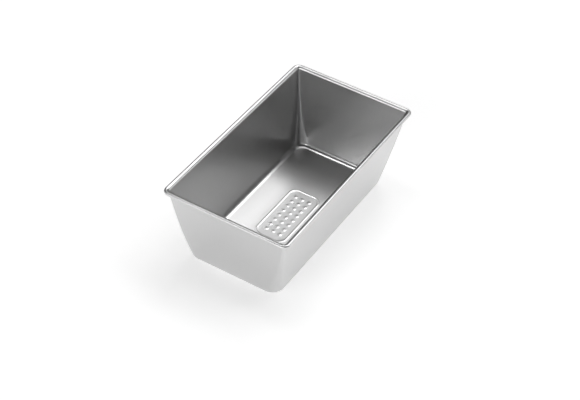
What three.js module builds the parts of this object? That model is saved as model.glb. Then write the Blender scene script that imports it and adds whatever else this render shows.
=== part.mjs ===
// Mini loaf pan: a shell drawn from one sheet, its rim rolled outward round a steel wire.
// Millimetres, +Z up. The origin is the centre of the underside, and the long sides run along X.

import * as THREE from 'three';

// Pan
const MOUTH_LENGTH = 145; // inside, end wall to end wall, where the lip begins to bend
const MOUTH_WIDTH = 79.5; // inside, side wall to side wall, at the same height
const HEIGHT = 55.5; // underside to the top of the rim
const SHEET = 0.6; // thickness of the sheet
const WALL_DRAFT = 8.5; // degrees that the walls lean outward
const MOUTH_CORNER = 1.2; // inside radius of the upright corners at the mouth
const FLOOR_CORNER = 5; // corner radius of the flat part of the floor
const FLOOR_FILLET = 3.5; // inside radius between floor and walls
const CORNER_FLARE = 2.5; // power by which the upright corners open out toward the foot

// Rolled rim
const LIP_BEND = 2.2; // radius of the lip, on the face that holds the food
const WIRE_DIAMETER = 1.1;
const WIRE_CLEARANCE = 0.1; // wire to the inside of the roll
const LIP_GAP = 0.3; // free edge of the roll to the wall beside it
const BUTT_GAP = 0.6; // between the two ends of the bent wire

// Facets
const CORNER_STEPS = 8; // in a quarter turn of the outline
const FILLET_STEPS = 8;
const WALL_STEPS = 10;
const LIP_STEPS = 6;
const OVER_STEPS = 6; // in the roll from its top to its outermost line
const UNDER_STEPS = 10; // in the roll from there to its free edge
const WIRE_SIDES = 16;

// The section through a wall is drawn in a plane of (out, height), where out is measured outward
// from the line of the mouth. The wall is tangent to the bend of the lip, which runs on, at the top
// of the rim, into the tighter roll that is concentric with the wire.
const draft = THREE.MathUtils.degToRad(WALL_DRAFT);
const wireRadius = WIRE_DIAMETER / 2;
const rollInside = wireRadius + WIRE_CLEARANCE;
const rollOutside = rollInside + SHEET;
const wireOut = LIP_BEND * Math.cos(draft);
const wireHeight = HEIGHT - rollOutside;
const lipHeight = HEIGHT - LIP_BEND;
const mouthHeight = lipHeight + LIP_BEND * Math.sin(draft);

// The fillet is tangent to the floor and to the foot of the wall.
const filletHeight = SHEET + FLOOR_FILLET;
const footHeight = filletHeight - FLOOR_FILLET * Math.sin(draft);
const footOut = -(mouthHeight - footHeight) * Math.tan(draft);
const filletOut = footOut - FLOOR_FILLET * Math.cos(draft);
const footCorner = FLOOR_CORNER + footOut - filletOut;

// The roll stops where its free edge would come closer to the back of the wall than the lip gap.
const wireToWall = LIP_BEND - SHEET - (LIP_BEND - rollOutside) * Math.sin(draft);
const rollEnd = Math.acos((wireToWall - LIP_GAP) / rollOutside) - Math.PI - draft;

// Four corner arcs of the outline at one point of the section, as the corners come round from +X +Y.
function cornerArcs(out, corner) {
  const centreX = MOUTH_LENGTH / 2 + out - corner;
  const centreY = MOUTH_WIDTH / 2 + out - corner;
  const quarter = Math.PI / 2;
  return [[1, 1], [-1, 1], [-1, -1], [1, -1]].map(([sideX, sideY], turn) => {
    const start = turn * quarter;
    return new THREE.ArcCurve(sideX * centreX, sideY * centreY, corner, start, start + quarter, false);
  });
}

// The outline itself, at the height of the section point.
function outline(sectionPoint, corner) {
  const arcs = cornerArcs(sectionPoint.x, corner);
  const points = arcs.flatMap((arc) => arc.getPoints(CORNER_STEPS));
  return points.map(({ x, y }) => new THREE.Vector3(x, y, sectionPoint.y));
}

// One closed skin over rows of points, each row a closed loop, with a flat cap on the first and last row.
function loft(rows) {
  const around = rows[0].length;
  const last = (rows.length - 1) * around;
  const triangles = [];
  for (let row = 0; row < last; row += around) {
    for (let step = 0; step < around; step += 1) {
      const next = (step + 1) % around;
      const [a, b] = [row + step, row + next];
      const [c, d] = [a + around, b + around];
      triangles.push(a, c, d, a, d, b);
    }
  }
  for (let step = 1; step < around - 1; step += 1) {
    triangles.push(0, step, step + 1, last, last + step + 1, last + step);
  }
  const geometry = new THREE.BufferGeometry().setFromPoints(rows.flat());
  geometry.setIndex(triangles);
  geometry.computeVertexNormals();
  return geometry;
}

// One face of the sheet, from the flat floor to the free edge of the roll.
// Depth 0 is the face that holds the food, depth SHEET the face behind it.
function sheetFace(depth) {
  const fillet = new THREE.ArcCurve(
    filletOut, filletHeight, FLOOR_FILLET + depth, -Math.PI / 2, -draft, false,
  );
  const behind = new THREE.Vector2(depth * Math.cos(draft), -depth * Math.sin(draft));
  const foot = new THREE.Vector2(footOut, footHeight).add(behind);
  const mouth = new THREE.Vector2(0, mouthHeight).add(behind);
  const wall = [];
  for (let step = 1; step < WALL_STEPS; step += 1) {
    const share = step / WALL_STEPS;
    const corner = MOUTH_CORNER + (footCorner - MOUTH_CORNER) * (1 - share) ** CORNER_FLARE;
    wall.push(outline(foot.clone().lerp(mouth, share), corner + behind.x));
  }
  const lip = new THREE.ArcCurve(wireOut, lipHeight, LIP_BEND - depth, Math.PI - draft, Math.PI / 2, true);
  const over = new THREE.ArcCurve(wireOut, wireHeight, rollOutside - depth, Math.PI / 2, 0, true);
  const under = new THREE.ArcCurve(wireOut, wireHeight, rollOutside - depth, 0, rollEnd, true);
  const rim = [
    ...lip.getPoints(LIP_STEPS),
    ...over.getPoints(OVER_STEPS).slice(1),
    ...under.getPoints(UNDER_STEPS).slice(1),
  ];
  return [
    ...fillet.getPoints(FILLET_STEPS).map((point) => outline(point, FLOOR_CORNER + point.x - filletOut)),
    ...wall,
    ...rim.map((point) => outline(point, MOUTH_CORNER + point.x)),
  ];
}

function panShell() {
  return loft([...sheetFace(0), ...sheetFace(SHEET).reverse()]);
}

// The wire follows the outline of its own centre line, from one side of the butt gap round to the other.
function rimWire() {
  const section = new THREE.ArcCurve(wireOut, wireHeight, wireRadius, 0, 2 * Math.PI, false);
  const strands = section.getPoints(WIRE_SIDES).slice(1).map(({ x: out, y: height }) => {
    const [first, ...rest] = cornerArcs(out, MOUTH_CORNER + out);
    const sideY = MOUTH_WIDTH / 2 + out;
    const route = [
      new THREE.Vector2(-BUTT_GAP / 2, sideY),
      ...[...rest, first].flatMap((arc) => arc.getPoints(CORNER_STEPS)),
      new THREE.Vector2(BUTT_GAP / 2, sideY),
    ];
    return route.map(({ x, y }) => new THREE.Vector3(x, y, height));
  });
  return loft(strands[0].map((_, place) => strands.map((strand) => strand[place])));
}

function piece(name, geometry, finish) {
  const mesh = new THREE.Mesh(geometry, new THREE.MeshStandardMaterial(finish));
  mesh.name = name;
  return mesh;
}

const pan = new THREE.Group();
pan.name = 'mini_loaf_pan';
pan.add(
  piece('pan_shell', panShell(), { color: 0xb9babb, roughness: 0.36, metalness: 1 }),
  piece('rim_wire', rimWire(), { color: 0x8f9090, roughness: 0.5, metalness: 1 }),
);

export default pan;
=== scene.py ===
# %% [markdown]
# # A mini loaf pan
# A small loaf pan is one sheet of aluminised steel, drawn in a press into a tapered box, with its rim
# rolled round a steel wire. This lesson loads the measured parts as a fixed frame, models the sheet
# again with a fine surface, gives sheet and wire their finishes and lights them on a white floor.

# %% Load the frame
import math
from collections import namedtuple

import bmesh
import bpy
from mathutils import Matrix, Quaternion, Vector


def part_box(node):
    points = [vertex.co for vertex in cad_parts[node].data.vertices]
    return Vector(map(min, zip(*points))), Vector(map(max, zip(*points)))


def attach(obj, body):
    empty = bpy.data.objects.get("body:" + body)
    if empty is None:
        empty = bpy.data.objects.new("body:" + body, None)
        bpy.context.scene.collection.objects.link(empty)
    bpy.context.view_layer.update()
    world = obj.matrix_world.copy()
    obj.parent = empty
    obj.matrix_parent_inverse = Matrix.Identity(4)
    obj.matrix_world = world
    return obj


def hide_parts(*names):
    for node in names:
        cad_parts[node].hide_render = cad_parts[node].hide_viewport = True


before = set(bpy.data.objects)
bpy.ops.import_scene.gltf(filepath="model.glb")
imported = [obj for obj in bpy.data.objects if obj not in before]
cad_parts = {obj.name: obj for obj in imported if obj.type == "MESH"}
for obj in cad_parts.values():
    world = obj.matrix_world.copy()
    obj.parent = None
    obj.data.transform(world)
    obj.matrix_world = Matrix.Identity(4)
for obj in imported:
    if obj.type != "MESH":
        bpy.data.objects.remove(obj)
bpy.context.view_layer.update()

# %% [markdown]
# ## Sizes
# The frame says how far the rim reaches and where the wire lies. The rest of the section is a short
# list of real sizes: the thickness of the sheet, the lean of the walls and the radii of its bends.
# Everything else follows from those, so the sheet meets the frame with no fitting.

# %% Sizes of the section
MM = 0.001
SHEET = 0.6 * MM
WALL_DRAFT = math.radians(8.5)
MOUTH_CORNER = 1.2 * MM
FLOOR_CORNER = 5.0 * MM
FLOOR_FILLET = 3.5 * MM
CORNER_FLARE = 2.5
LIP_BEND = 2.2 * MM
LIP_GAP = 0.3 * MM

shell_low, shell_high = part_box("pan_shell")
wire_low, wire_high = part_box("rim_wire")
wire_height = (wire_low.z + wire_high.z) / 2
roll_outside = shell_high.z - wire_height
wire_out = LIP_BEND * math.cos(WALL_DRAFT)
mouth_half = Vector((shell_high.x, shell_high.y)) - Vector((1, 1)) * (wire_out + roll_outside)
lip_height = shell_high.z - LIP_BEND
mouth_height = lip_height + LIP_BEND * math.sin(WALL_DRAFT)
fillet_height = SHEET + FLOOR_FILLET
foot_height = fillet_height - FLOOR_FILLET * math.sin(WALL_DRAFT)
foot_out = (foot_height - mouth_height) * math.tan(WALL_DRAFT)
fillet_out = foot_out - FLOOR_FILLET * math.cos(WALL_DRAFT)
print("mouth inside:", [round(2 * half / MM, 2) for half in mouth_half], "mm, roll radius",
      round(roll_outside / MM, 3), "mm")

# %% [markdown]
# ## Camera
# The camera comes first, so that every later step can be looked at as the photograph shows it. It
# looks down on one end and one long side. Its place was worked out from the lines of the rim and the
# foot, which also show that the photograph leans a little, so the camera is rolled by as much.

# %% Camera
VIEW_AZIMUTH = math.radians(-60.740)
VIEW_ELEVATION = math.radians(42.186)
VIEW_ROLL = math.radians(3.680)
VIEW_DISTANCE = 0.94666
VIEW_TARGET = Vector((0.013724, 0.006787, 0))
LENS = 92.154


def towards(azimuth, elevation):
    """The direction from the pan to a place seen at these angles."""
    level = math.cos(elevation)
    return Vector((math.sin(azimuth) * level, -math.cos(azimuth) * level, math.sin(elevation)))


def aim(holder, target, direction, distance, roll=0.0):
    """Puts a camera or lamp at a distance from the target, facing it, and rolls it."""
    facing = (-direction).to_track_quat("-Z", "Y")
    holder.location = target + direction * distance
    holder.rotation_euler = (facing @ Quaternion((0, 0, 1), roll)).to_euler()


bpy.ops.object.select_all(action="DESELECT")
bpy.ops.object.camera_add()
camera = bpy.context.object
camera.name = "camera"
camera.data.lens = LENS
aim(camera, VIEW_TARGET, towards(VIEW_AZIMUTH, VIEW_ELEVATION), VIEW_DISTANCE, VIEW_ROLL)
bpy.context.scene.camera = camera
print("camera at", [round(place, 3) for place in camera.location], "m")

# %% [markdown]
# ## Dimples in the floor
# The middle of the floor carries a plain stamped panel, a field of round dimples inside a raised
# border, which stiffens the flat sheet. A bump texture could fake it, but then the mesh would stay
# flat. Here a grid is the blank, and its cells are inset, rounded and raised as by a punch.

# %% Helpers for picking faces, edges and corners
def edit_mesh():
    """The mesh that is open in edit mode."""
    return bmesh.from_edit_mesh(bpy.context.object.data)


def pick(kind, wanted):
    """Selects the vertices, edges or faces that the test wants, and nothing else."""
    bpy.ops.mesh.select_all(action="DESELECT")
    bpy.ops.mesh.select_mode(type={"verts": "VERT", "edges": "EDGE", "faces": "FACE"}[kind])
    mesh = edit_mesh()
    for part in getattr(mesh, kind):
        if wanted(part):
            part.select_set(True)
    mesh.select_flush_mode()
    bmesh.update_edit_mesh(bpy.context.object.data)


# %% Punch the dimples
DIMPLE_COLUMNS = 8
DIMPLE_ROWS = 3
DIMPLE_PITCH = 5.0 * MM
DIMPLE_RADIUS = 1.5 * MM
DIMPLE_HEIGHT = 0.18 * MM
DIMPLE_CUTS = 7
DIMPLE_RINGS = 5

bpy.ops.object.select_all(action="DESELECT")
bpy.ops.mesh.primitive_grid_add(x_subdivisions=DIMPLE_COLUMNS, y_subdivisions=DIMPLE_ROWS, size=1,
                                location=(0, 0, SHEET))
shell = bpy.context.object
shell.name = "drawn_shell"
bpy.ops.object.mode_set(mode="EDIT")
bpy.ops.transform.resize(value=(DIMPLE_COLUMNS * DIMPLE_PITCH, DIMPLE_ROWS * DIMPLE_PITCH, 1))
bpy.ops.object.mode_set(mode="OBJECT")
bpy.ops.object.transform_apply(location=True)
bpy.ops.object.mode_set(mode="EDIT")
pick("faces", lambda face: True)
bpy.ops.mesh.inset(use_individual=True, thickness=DIMPLE_PITCH / 2 - DIMPLE_RADIUS)
bpy.ops.mesh.subdivide(number_cuts=DIMPLE_CUTS)
bpy.ops.mesh.dissolve_faces()
dimple_corners = 4 * (DIMPLE_CUTS + 1)
dimples = [face.calc_center_median() for face in edit_mesh().faces if face.select]
for centre in dimples:
    pick("faces", lambda face: len(face.verts) == dimple_corners
         and (face.calc_center_median() - centre).length < DIMPLE_RADIUS / 2)
    bpy.ops.transform.tosphere(value=1, center_override=centre)
pick("faces", lambda face: len(face.verts) == dimple_corners)


def swell(share):
    """Height of a stamped bead or dimple, from 1 in its middle to 0 at its foot."""
    return (1 + math.cos(math.pi * share)) / 2


for ring in range(1, DIMPLE_RINGS):
    rise = swell(1 - ring / DIMPLE_RINGS) - swell(1 - (ring - 1) / DIMPLE_RINGS)
    bpy.ops.mesh.inset(use_individual=True, thickness=DIMPLE_RADIUS / DIMPLE_RINGS,
                       depth=DIMPLE_HEIGHT * rise)
print("dimples:", len(dimples))

# %% [markdown]
# ## The open edge of the sheet
# The press draws a flat blank into the pan, and the model grows the same way. From the border of the
# stamped panel the open edge is extruded ring by ring: over the border, across the floor, round the
# fillet, up the wall and into the roll. Each ring is a rectangle with round corners, so its four
# corners are scaled about their own centres and moved to their next place. The upright corners are
# tight at the mouth and open out towards the foot, where the sheet was drawn round the punch.

# %% Outline of the stamped panel
BORDER_HALF = Vector((24.0, 10.5)) * MM
BORDER_CORNER = 5.0 * MM
BORDER_REACH = 0.8 * MM
BORDER_HEIGHT = 0.22 * MM
CORNER_STEPS = 24

Ring = namedtuple("Ring", "half_x half_y corner height")


def border_ring(reach, height):
    """A ring of the border, at a reach outside or inside the middle of its bead."""
    return Ring(BORDER_HALF.x + reach, BORDER_HALF.y + reach, BORDER_CORNER + reach, height)


edge = border_ring(-BORDER_REACH, SHEET)
bpy.ops.mesh.primitive_plane_add(size=1, location=(0, 0, SHEET))
bpy.ops.transform.resize(value=(2 * edge.half_x, 2 * edge.half_y, 1), center_override=(0, 0, SHEET))
bpy.ops.mesh.bevel(affect="VERTICES", offset=edge.corner, segments=CORNER_STEPS, profile=0.5)
bpy.ops.mesh.delete(type="ONLY_FACE")
pick("edges", lambda line: line.is_boundary or line.is_wire)
bpy.ops.mesh.fill(use_beauty=True)
print("panel:", len(edit_mesh().faces), "faces")

# %% Pull the open edge from one ring to the next
QUARTERS = ((1, 1), (-1, 1), (-1, -1), (1, -1))


def pull_edge(old, new):
    """Extrudes the open edge and shapes it into the new ring, a corner at a time."""
    pick("edges", lambda line: line.is_boundary)
    bpy.ops.mesh.extrude_edges_move()
    spread = new.corner / old.corner
    slide = Vector((new.half_x - new.corner - old.half_x + old.corner,
                    new.half_y - new.corner - old.half_y + old.corner))
    for side_x, side_y in QUARTERS:
        pick("verts", lambda vert: vert.is_boundary and vert.co.x * side_x > 0 and vert.co.y * side_y > 0)
        middle = (side_x * (old.half_x - old.corner), side_y * (old.half_y - old.corner), old.height)
        bpy.ops.transform.resize(value=(spread, spread, 1), center_override=middle)
        bpy.ops.transform.translate(value=(side_x * slide.x, side_y * slide.y, new.height - old.height))
    return new


# %% Border and flat floor
BORDER_STEPS = 10

for step in range(1, BORDER_STEPS + 1):
    share = 2 * step / BORDER_STEPS - 1
    edge = pull_edge(edge, border_ring(share * BORDER_REACH, SHEET + BORDER_HEIGHT * swell(share)))


def wall_ring(out, height, corner):
    """A ring of the pan, out metres outside the line of its mouth."""
    return Ring(mouth_half.x + out, mouth_half.y + out, corner, height)


edge = pull_edge(edge, wall_ring(fillet_out, SHEET, FLOOR_CORNER))
print("flat floor:", [round(2 * half / MM, 2) for half in edge[:2]], "mm")

# %% Fillet and wall
FILLET_STEPS = 20
WALL_STEPS = 16

for step in range(1, FILLET_STEPS + 1):
    turn = (math.pi / 2 - WALL_DRAFT) * step / FILLET_STEPS
    reach = FLOOR_FILLET * math.sin(turn)
    height = fillet_height - FLOOR_FILLET * math.cos(turn)
    edge = pull_edge(edge, wall_ring(fillet_out + reach, height, FLOOR_CORNER + reach))
foot = edge
for step in range(1, WALL_STEPS + 1):
    share = step / WALL_STEPS
    height = foot_height + (mouth_height - foot_height) * share
    corner = MOUTH_CORNER + (foot.corner - MOUTH_CORNER) * (1 - share) ** CORNER_FLARE
    edge = pull_edge(edge, wall_ring(foot_out * (1 - share), height, corner))
print("wall: from", round(foot.height / MM, 2), "to", round(edge.height / MM, 2), "mm high")

# %% [markdown]
# ## Rolled rim
# At the mouth the sheet turns outward in a lip bend, and then rolls tighter round the wire until its
# free edge almost meets the wall again. The roll is nearly three quarters of a turn on a small radius,
# in the same rings as before, and it is what makes a thin pan stiff.

# %% Roll the rim
LIP_STEPS = 12
OVER_STEPS = 12
UNDER_STEPS = 20

wire_to_wall = LIP_BEND - SHEET - (LIP_BEND - roll_outside) * math.sin(WALL_DRAFT)
roll_end = math.acos((wire_to_wall - LIP_GAP) / roll_outside) - math.pi - WALL_DRAFT


def bend_edge(edge, height, radius, start, end, steps):
    """Bends the open edge about a line in the wire or below it, from one angle to another."""
    for step in range(1, steps + 1):
        turn = start + (end - start) * step / steps
        out = wire_out + radius * math.cos(turn)
        edge = pull_edge(edge, wall_ring(out, height + radius * math.sin(turn), MOUTH_CORNER + out))
    return edge


edge = bend_edge(edge, lip_height, LIP_BEND, math.pi - WALL_DRAFT, math.pi / 2, LIP_STEPS)
edge = bend_edge(edge, wire_height, roll_outside, math.pi / 2, 0, OVER_STEPS)
edge = bend_edge(edge, wire_height, roll_outside, 0, roll_end, UNDER_STEPS)
print("roll ends at", round(math.degrees(roll_end), 1), "degrees")

# %% Close the seams and turn the sheet face up
MERGE_DISTANCE = 0.001 * MM
LEVEL = 0.99

bpy.ops.mesh.select_all(action="SELECT")
bpy.ops.mesh.remove_doubles(threshold=MERGE_DISTANCE)
bpy.ops.mesh.normals_make_consistent(inside=False)
floor_face = max(edit_mesh().faces, key=lambda face: face.calc_area() * (abs(face.normal.z) > LEVEL))
if floor_face.normal.z < 0:
    bpy.ops.mesh.flip_normals()
bpy.ops.object.mode_set(mode="OBJECT")
print("sheet:", len(shell.data.polygons), "faces")

# %% [markdown]
# ## Thickness of the sheet
# So far the sheet is a skin, the face that holds the loaf. Solidify gives it the other face, one
# sheet thickness behind, and closes the free edge inside the roll. Flat faces then keep their own
# normals where they run into the bends, so that broad reflections stay straight.

# %% Thickness and shading
def apply_modifier(piece, kind, **settings):
    """Adds a modifier to the active piece and applies it."""
    modifier = piece.modifiers.new(kind.lower(), kind)
    for name, value in settings.items():
        setattr(modifier, name, value)
    bpy.ops.object.modifier_apply(modifier=modifier.name)


SMOOTH_ANGLE = math.radians(40)
FLAT_FACES_LEAD = 100

apply_modifier(shell, "SOLIDIFY", thickness=SHEET, offset=-1, use_even_offset=True)
bpy.ops.object.shade_smooth_by_angle(angle=SMOOTH_ANGLE)
apply_modifier(shell, "WEIGHTED_NORMAL", keep_sharp=True, weight=FLAT_FACES_LEAD)
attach(shell, "root")
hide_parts("pan_shell")
shell_sides = [round(side / MM, 2) for side in shell.dimensions]
print("shell:", len(shell.data.polygons), "faces, box", shell_sides, "mm")

# %% [markdown]
# ## Shader maths
# The finishes below are sums and products of textures. A small class wraps a node's output, so that
# Python's own operators add the Math nodes, and one method makes every other node.

# %% A socket that does sums
class Socket:
    """An output of a shader node, on which Python's operators add Math nodes."""

    def __init__(self, tree, output=None):
        self.tree = tree
        self.output = output

    def node(self, kind, inputs, output=0, **settings):
        """Adds a node with its settings first, then the values or links of its inputs."""
        made = self.tree.nodes.new(kind)
        for name, value in settings.items():
            setattr(made, name, value)
        for key, value in inputs.items():
            if isinstance(value, Socket):
                self.tree.links.new(value.output, made.inputs[key])
            else:
                made.inputs[key].default_value = value
        return Socket(self.tree, made.outputs[output] if made.outputs else None)

    def math(self, operation, *values):
        """Adds a Math node of this operation on the values."""
        return self.node("ShaderNodeMath", dict(enumerate(values)), operation=operation)

    def __add__(self, other):
        return self.math("ADD", self, other)

    __radd__ = __add__

    def __mul__(self, other):
        return self.math("MULTIPLY", self, other)

    __rmul__ = __mul__


def new_finish(name):
    """An empty material, and the start of its node tree."""
    finish = bpy.data.materials.new(name)
    finish.use_nodes = True
    finish.node_tree.nodes.clear()
    return finish, Socket(finish.node_tree)


def texture(start, scale, size, detail=3.0):
    """Noise in the piece's own coordinates, stretched along the axes by the scale."""
    place = start.node("ShaderNodeTexCoord", {}, output="Object")
    stretched = start.node("ShaderNodeMapping", {"Vector": place, "Scale": scale})
    return start.node("ShaderNodeTexNoise", {"Vector": stretched, "Scale": size, "Detail": detail})


# %% [markdown]
# ## Satin sheet
# Aluminised steel comes off the rolls with a satin face. It reflects like a clouded mirror, with fine
# grain along the roll, faint upright marks where the walls slid through the die, and a slow waviness.

# %% Finish of the sheet
def satin_sheet():
    """Satin metal with waves, grain along the roll, upright streaks and smudges."""
    finish, start = new_finish("satin_sheet")
    waves = texture(start, (1, 1, 1), 34.0, detail=1.0)
    grain = texture(start, (40, 900, 900), 1.0)
    streaks = texture(start, (700, 700, 25), 1.0)
    smudges = texture(start, (1, 1, 1), 60.0)
    roughness = 0.27 + 0.008 * grain + 0.008 * streaks + 0.02 * smudges
    grey = 0.61 + 0.02 * grain + 0.02 * streaks + 0.02 * smudges
    colour = start.node("ShaderNodeCombineColor", {"Red": grey, "Green": grey, "Blue": grey})
    relief = waves * 0.00005 + grain * 0.000001 + streaks * 0.000003
    bump = start.node("ShaderNodeBump", {"Height": relief, "Strength": 1.0, "Distance": 1.0})
    metal = start.node("ShaderNodeBsdfPrincipled", {"Base Color": colour, "Metallic": 1.0,
                                                    "Roughness": roughness, "Normal": bump})
    start.node("ShaderNodeOutputMaterial", {"Surface": metal})
    return finish


shell.data.materials.clear()
shell.data.materials.append(satin_sheet())
print("finish of", shell.name, "has", len(shell.data.materials[0].node_tree.nodes), "nodes")

# %% [markdown]
# ## Drawn wire
# The wire shows only in the slit under the roll. It is plain steel, duller than the sheet, with fine
# lines along its length from the die.

# %% Finish of the wire
def drawn_wire():
    """Dull steel with fine lines and stains."""
    finish, start = new_finish("drawn_wire")
    lines = texture(start, (60, 60, 2500), 1.0)
    stains = texture(start, (1, 1, 1), 90.0)
    grey = 0.46 + 0.08 * lines + 0.05 * stains
    colour = start.node("ShaderNodeCombineColor", {"Red": grey, "Green": grey, "Blue": grey})
    roughness = 0.38 + 0.15 * stains
    bump = start.node("ShaderNodeBump", {"Height": lines * 0.000004, "Strength": 1.0, "Distance": 1.0})
    metal = start.node("ShaderNodeBsdfPrincipled", {"Base Color": colour, "Metallic": 1.0,
                                                    "Roughness": roughness, "Normal": bump})
    start.node("ShaderNodeOutputMaterial", {"Surface": metal})
    return finish


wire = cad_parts["rim_wire"]
wire.data.materials.clear()
wire.data.materials.append(drawn_wire())
print("finish of", wire.name)

# %% [markdown]
# ## White floor
# The pan stands on a white sweep. Its colour is split in two: a diffuse half that takes the soft
# shadow, and a glow that only the camera and reflections see. So the floor is white where nothing
# shades it, in the metal too, and needs no stronger lamps for that.

# %% Floor
FLOOR_SIZE = 6.0
FLOOR_DROP = 0.05 * MM
FLOOR_DIFFUSE = 0.88
FLOOR_GLOW = 0.44


def white_floor():
    """White paper with a glow that the camera and reflections see."""
    finish, start = new_finish("white_floor")
    seen = start.node("ShaderNodeLightPath", {}, output="Is Camera Ray")
    mirrored = start.node("ShaderNodeLightPath", {}, output="Is Glossy Ray")
    through = start.node("ShaderNodeLightPath", {}, output="Is Transmission Ray")
    glow = FLOOR_GLOW * start.math("MAXIMUM", start.math("MAXIMUM", seen, mirrored), through)
    paper = start.node("ShaderNodeBsdfDiffuse", {"Color": (FLOOR_DIFFUSE,) * 3 + (1,)})
    light = start.node("ShaderNodeEmission", {"Color": (1, 1, 1, 1), "Strength": glow})
    both = start.node("ShaderNodeAddShader", {0: paper, 1: light})
    start.node("ShaderNodeOutputMaterial", {"Surface": both})
    return finish


bpy.ops.object.select_all(action="DESELECT")
bpy.ops.mesh.primitive_plane_add(size=FLOOR_SIZE, location=(0, 0, -FLOOR_DROP))
floor = bpy.context.object
floor.name = "floor"
floor.data.materials.append(white_floor())
print("floor:", FLOOR_SIZE, "m wide,", round(FLOOR_DROP / MM, 3), "mm below the pan")

# %% [markdown]
# ## Light
# Satin metal shows the room, so its tones are set by where the lamps stand and how large they look. A
# wide softbox high on the right is mirrored by the pan's floor through the left wall. A small one high
# behind draws the bright line along the far fillet, and one overhead makes the shadow close to the
# foot. Six more stand lower round the pan, and the rest of the studio stays dim, which gives the inner
# walls their depth. A lamp's power follows from how bright its face should look, where 1 is white.

# %% World and lamps
WORLD_GREY = 0.02
LAMP_DISTANCE = 2.0

world = bpy.data.worlds.new("studio")
world.use_nodes = True
world.node_tree.nodes["Background"].inputs["Color"].default_value = (1, 1, 1, 1)
world.node_tree.nodes["Background"].inputs["Strength"].default_value = WORLD_GREY
bpy.context.scene.world = world
print("world grey:", WORLD_GREY)


def softbox(name, azimuth, elevation, width, height, brightness):
    """A rectangular lamp that faces the pan, with the brightness of its face."""
    bpy.ops.object.light_add(type="AREA")
    lamp = bpy.context.object
    lamp.name = name
    lamp.data.shape = "RECTANGLE"
    lamp.data.size = width
    lamp.data.size_y = height
    lamp.data.energy = brightness * math.pi * width * height
    aim(lamp, Vector((0, 0, 0)), towards(math.radians(azimuth), math.radians(elevation)), LAMP_DISTANCE)
    print(name, round(lamp.data.energy, 1), "W")


softbox("key_softbox", 73, 58, 2.1, 0.9, 2.9)
softbox("back_softbox", 168, 67, 0.5, 0.55, 4.2)
softbox("top_softbox", 115, 80, 0.9, 0.8, 1.8)
softbox("left_softbox", 258, 24, 1.3, 0.8, 3.1)
softbox("right_softbox", 35, 12, 1.1, 0.55, 2.4)
softbox("middle_softbox", 124, 40, 0.85, 0.7, 0.4)
softbox("front_softbox", 288, 14, 1.6, 0.8, 2.0)
softbox("low_front_softbox", 336, 8, 1.5, 0.5, 1.6)
softbox("low_back_softbox", 212, 8, 1.5, 0.5, 1.6)

# %% [markdown]
# ## Colours
# The frame has set every size, so the finished pan has to fill the same box. The colours are shown as
# they are, with no film look over them.

# %% Colours and end of the lesson
bpy.context.scene.view_settings.view_transform = "Standard"
